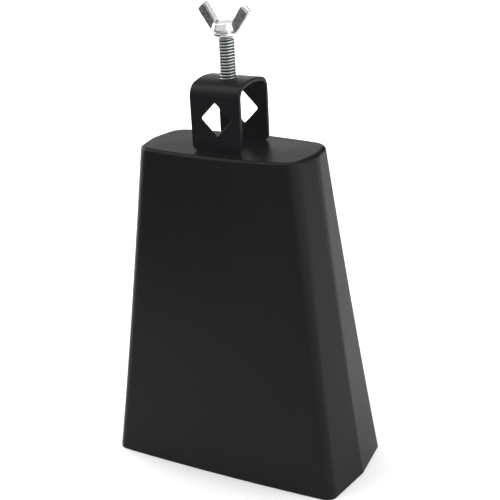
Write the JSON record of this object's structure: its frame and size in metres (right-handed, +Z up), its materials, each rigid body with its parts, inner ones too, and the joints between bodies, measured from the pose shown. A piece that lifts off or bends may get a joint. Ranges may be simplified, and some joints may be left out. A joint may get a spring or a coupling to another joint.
{
  "type": "cowbell",
  "caption": "Black steel rock cowbell with a tapered body, a folded clamp bracket with diamond rod holes and a zinc wing screw.",
  "frame": {"origin": "centre of the mouth plane, with the rim at z = 0", "axes": "+Z up from the mouth to the crown and the wing screw, -Y out of the front face, +X to the right of the front face"},
  "size_m": [0.132, 0.0626, 0.2327],
  "materials": {
    "body_paint": "satin black powder coat over steel, semi-gloss",
    "bracket_paint": "satin black powder coat over steel strip, rubbed lighter round the screw",
    "weld_paint": "satin black coat over rippled weld bead",
    "screw_zinc": "zinc plated rolled thread",
    "wing_zinc": "bright zinc plated casting"
  },
  "bodies": {
    "bell": {"front_shell": "body_paint", "rear_shell": "body_paint", "left_seam_weld": "weld_paint", "right_seam_weld": "weld_paint", "crown_seam_weld": "weld_paint", "clamp_bracket": "bracket_paint", "front_tab_weld": "weld_paint", "rear_tab_weld": "weld_paint", "clamp_nut": "bracket_paint"},
    "screw": {"screw_stud": "screw_zinc"},
    "wing": {"wing_head": "wing_zinc"}
  },
  "joints": [
    {"name": "screw_travel", "type": "slide", "parent": "bell", "child": "screw", "axis": [0, 0, -1], "range_m": [-0.00495, 0.01695]},
    {"name": "wing_turn", "type": "hinge", "parent": "screw", "child": "wing", "pos_m": [0, 0, 0.2158], "axis": [0, 0, -1], "range_deg": [-1260, 4320]}
  ],
  "couplings": [
    {"joint": "screw_travel", "follows": "wing_turn", "m_per_rad": 0.00022457}
  ]
}
